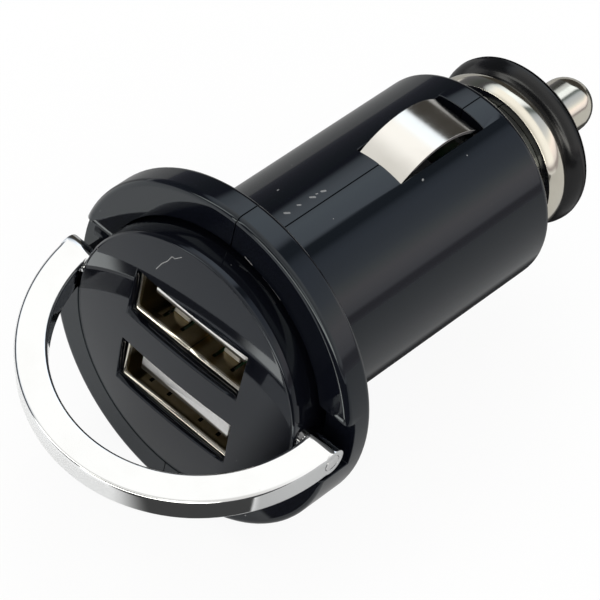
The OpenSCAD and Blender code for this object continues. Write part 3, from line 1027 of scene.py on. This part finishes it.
@dataclass(frozen=True, kw_only=True)
class Panel(Zone):
    """A bright or dark panel of the studio, placed by the directions that it fills."""

    colour: Colour
    dim: Colour | None = None
    dim_axis: int = 1
    dim_fade: Fade = (0.0, 1.0)

    def lay(self, sheet: NodeSheet, light: Signal, *axes: Signal) -> Signal:
        """Hang the panel in front of what is there.

        Args:
            sheet: the world's nodes.
            light: colour of what is there.
            axes: the direction's parts.

        Returns:
            The colour with the panel.
        """
        colour = self.colour
        if self.dim is not None:
            colour = sheet.blend(axes[self.dim_axis].rise(*self.dim_fade), self.dim, colour)
        return sheet.blend(self.mask(*axes), light, colour)


# Colours round the plug axis by the angle from straight up, in degrees, towards +X
AROUND = (
    (-120, (0.75, 0.75, 0.77)),
    (-100, (0.30, 0.31, 0.34)),
    (-84, (0.13, 0.13, 0.15)),
    (-62, (0.07, 0.08, 0.08)),
    (-51, (0.06, 0.06, 0.07)),
    (-46, (0.63, 0.69, 0.74)),
    (-38, (0.98, 1.04, 1.12)),
    (-22, (1.24, 1.36, 1.46)),
    (-5, (1.18, 1.27, 1.38)),
    (-1, (1.00, 1.07, 1.17)),
    (3, (0.14, 0.17, 0.18)),
    (10, (0.14, 0.17, 0.18)),
    (15, (0.42, 0.47, 0.53)),
    (22, (0.55, 0.60, 0.68)),
    (36, (0.64, 0.68, 0.74)),
    (45, (0.76, 0.79, 0.83)),
    (54, (1.02, 1.01, 0.97)),
    (62, (1.24, 1.12, 1.10)),
    (70, (1.12, 1.03, 1.03)),
    (79, (0.84, 0.79, 0.81)),
    (82, (0.36, 0.33, 0.34)),
    (87, (0.36, 0.33, 0.34)),
    (92, (0.52, 0.50, 0.52)),
    (120, (0.47, 0.47, 0.52)),
)

# Dark screen past the tip, whose near edge leans: its X is measured from a plane that leans
SCREEN = Panel(colour=(0.05, 0.046, 0.04), x_to=(-1.73, -1.63), y_from=(0.64, 0.70))
SCREEN_LEAN = 2.0

# Panels that hang in front of those round the axis, each over the one before
OVERHEAD = Panel(
    colour=(1.16, 1.15, 1.12),
    dim=(0.80, 0.79, 0.76),
    dim_axis=1,
    dim_fade=(-0.4, 0.1),
    x_from=(-0.72, -0.5),
    y_to=(0.3, 0.5),
    z_from=(0.1, 0.3),
)
BEFORE_FACE = Panel(
    colour=(0.62, 0.61, 0.58),
    dim=(0.12, 0.12, 0.12),
    dim_axis=0,
    dim_fade=(0.2, 0.65),
    y_to=(-0.82, -0.75),
)
LEDGE = Panel(
    colour=(3.4, 3.4, 3.2),
    y_from=(-0.80, -0.76),
    y_to=(-0.68, -0.64),
    z_from=(0.16, 0.22),
    z_to=(0.62, 0.66),
)
STRIP = Panel(
    colour=(5.0, 4.9, 4.5),
    x_from=(-0.31, -0.25),
    y_to=(-0.66, -0.60),
    z_from=(0.04, 0.08),
    z_to=(0.24, 0.28),
)
HORIZON = Panel(colour=(0.80, 0.80, 0.81), y_to=(0.3, 0.5), z_to=(0.02, 0.10))

# Painted shadow: zones of the floor that show black where a glossy piece mirrors them, while the
# camera sees them white
MIRRORED_SHADOW_ZONES = (
    Zone(x_from=(2.0, 9.0), y_to=(-10.8, -10.2)),
    Zone(x_from=(-17.0, -9.0), x_to=(9.0, 17.0), y_from=(0.0, 10.0)),
    Zone(x_from=(0.0, 14.0), y_from=(-11.0, -9.0), strength=0.45),
    Zone(x_to=(-16.0, -4.0), y_from=(4.0, 12.0), strength=0.65),
)


@dataclass(frozen=True)
class SoftLamp:
    """A square soft lamp that looks at the plug and shows in no reflection.

    The reach and the side are in metres, and a level of 1 makes its face white.
    """

    way: Point
    reach: float
    side: float
    level: float
    aim: Point = (0.0, 15.0, 0.0)

    def hang(self, name: str) -> None:
        """Hang the lamp.

        Args:
            name: name of the lamp.
        """
        data = bpy.data.lights.new(name, "AREA")
        data.shape = "SQUARE"
        data.size = self.side
        data.energy = self.level * math.pi * self.side * self.side
        lamp = bpy.data.objects.new(name, data)
        bpy.context.scene.collection.objects.link(lamp)
        back = Vector(self.way).normalized()
        lamp.location = Vector(self.aim) * MM + back * self.reach
        lamp.rotation_mode = "QUATERNION"
        lamp.rotation_quaternion = (-back).to_track_quat("-Z", "Y")
        lamp.visible_glossy = False
        lamp.visible_camera = False


@dataclass
class Studio:
    """Floor, lamp, surroundings and camera.

    The floor's radius and the camera's clipping are in metres.
    """

    key: SoftLamp = SoftLamp((-0.5, 0.36, 0.8), 0.7, 0.34, 3.4)
    floor_radius: float = 3.0
    floor_gap: float = 0.02
    floor_white: Colour = (0.94, 0.94, 0.94)
    # Black of the painted shadow that reflections see on the floor
    painted_shadow_black: Colour = (0.03, 0.03, 0.03)
    glow: float = 0.92
    mirrored_glow: float = 0.3
    # Strength of that painted shadow in reflections
    mirrored_shadow_depth: float = 0.97
    backdrop_white: Colour = (0.98, 0.98, 0.98)
    lens: float = 226.8
    sensor: float = 36.0
    clip: tuple[float, float] = (0.01, 20.0)
    eye: Point = (127.083, -187.922, 239.667)
    across: Point = (0.72506, 0.66875, 0.16451)
    upward: Point = (-0.57630, 0.45840, 0.67657)
    back: Point = (0.37705, -0.58536, 0.71776)

    def camera(self) -> None:
        """Place the camera at the photograph's viewing angle."""
        data = bpy.data.cameras.new("camera")
        data.sensor_width = self.sensor
        data.lens = self.lens
        data.clip_start, data.clip_end = self.clip
        camera = bpy.data.objects.new("camera", data)
        bpy.context.scene.collection.objects.link(camera)
        turn = Matrix((self.across, self.upward, self.back)).transposed().to_4x4()
        camera.matrix_world = Matrix.Translation(Vector(self.eye) * MM) @ turn
        bpy.context.scene.camera = camera

    def floor_paint(self) -> bpy.types.Material:
        """Plain white that glows for the camera, dimly in reflections, and keeps a shadow;
        reflections also see painted shadow, black, in set zones.

        Returns:
            The floor's material.
        """
        paint = bpy.data.materials.new("floor_white")
        sheet = NodeSheet(paint)
        camera = sheet.add("ShaderNodeLightPath", output="Is Camera Ray")
        mirrored = camera.output("Is Glossy Ray")
        seen = (camera * self.glow).larger(mirrored * self.mirrored_glow)
        seen = seen.larger(camera.output("Is Transmission Ray") * self.glow)
        x, y, _ = sheet.stations()
        # Painted shadow: black for glossy rays in the set zones of the floor
        dark: Signal | float = 0.0
        for zone in MIRRORED_SHADOW_ZONES:
            dark = zone.mask(x, y).larger(dark)
        dark = mirrored * dark * self.mirrored_shadow_depth
        matte = sheet.add("ShaderNodeBsdfDiffuse", {}, {"Color": self.floor_white}, "BSDF")
        white = sheet.add("ShaderNodeEmission", {}, {"Color": (1.0, 1.0, 1.0), "Strength": 1.0})
        # Black emission of the painted shadow
        black = sheet.add("ShaderNodeEmission", {}, {"Color": self.painted_shadow_black, "Strength": 1.0})
        mixed = sheet.add("ShaderNodeMixShader", {}, {0: seen, 1: matte, 2: white})
        mixed = sheet.add("ShaderNodeMixShader", {}, {0: dark, 1: mixed, 2: black})
        sheet.add("ShaderNodeOutputMaterial", {}, {"Surface": mixed})
        return paint

    def floor(self) -> None:
        """Lay a round floor just under the plug."""
        level = CAD_BOX[0].z - self.floor_gap * MM
        form = bmesh.new()
        bmesh.ops.create_circle(form, cap_ends=True, segments=96, radius=self.floor_radius)
        bmesh.ops.translate(form, verts=form.verts, vec=(0.0, 0.0, level))
        mesh = bpy.data.meshes.new("floor")
        form.to_mesh(mesh)
        form.free()
        mesh.materials.append(self.floor_paint())
        floor = bpy.data.objects.new("floor", mesh)
        bpy.context.scene.collection.objects.link(floor)

    def surroundings(self) -> None:
        """Hang panels round the plug for its reflections, before a white backdrop."""
        world = bpy.data.worlds.new("studio")
        bpy.context.scene.world = world
        sheet = NodeSheet(world)
        x, y, z = sheet.axes(sheet.add("ShaderNodeTexCoord", output="Generated"))
        turn = x.maths("ARCTAN2", x, z) / (2.0 * math.pi) + 0.5
        stops = [(0.5 + degrees / 360.0, colour) for degrees, colour in AROUND]
        light = sheet.add("ShaderNodeValToRGB", {"stops": stops}, {0: turn}, "Color")
        light = SCREEN.lay(sheet, light, x - SCREEN_LEAN * y, y, z)
        for panel in (OVERHEAD, BEFORE_FACE, LEDGE, STRIP, HORIZON):
            light = panel.lay(sheet, light, x, y, z)
        camera = sheet.add("ShaderNodeLightPath", output="Is Camera Ray")
        light = sheet.blend(camera, light, self.backdrop_white)
        backdrop = sheet.add("ShaderNodeBackground", {}, {"Color": light, "Strength": 1.0})
        sheet.add("ShaderNodeOutputWorld", {}, {"Surface": backdrop})

    def build(self) -> None:
        """Set up the whole studio."""
        self.camera()
        self.floor()
        self.surroundings()
        self.key.hang("key")
        bpy.context.scene.view_settings.view_transform = "Standard"


def main() -> None:
    """Build the studio and every sub-assembly."""
    logging.basicConfig(level=logging.INFO, format="%(name)s: %(message)s")
    Studio().build()
    for part in (
        Housing(),
        FacePlate(),
        Handle(),
        HingePins(),
        LeafContact(Body.TOP_LEAF, side=Side.TOP),
        LeafContact(Body.BOTTOM_LEAF, side=Side.BOTTOM),
        Nose(),
        ContactTip(),
        TipSpring(),
        Ports(),
        Circuit(),
    ):
        part.build()
    bpy.context.view_layer.update()


if __name__ == "__main__":
    main()
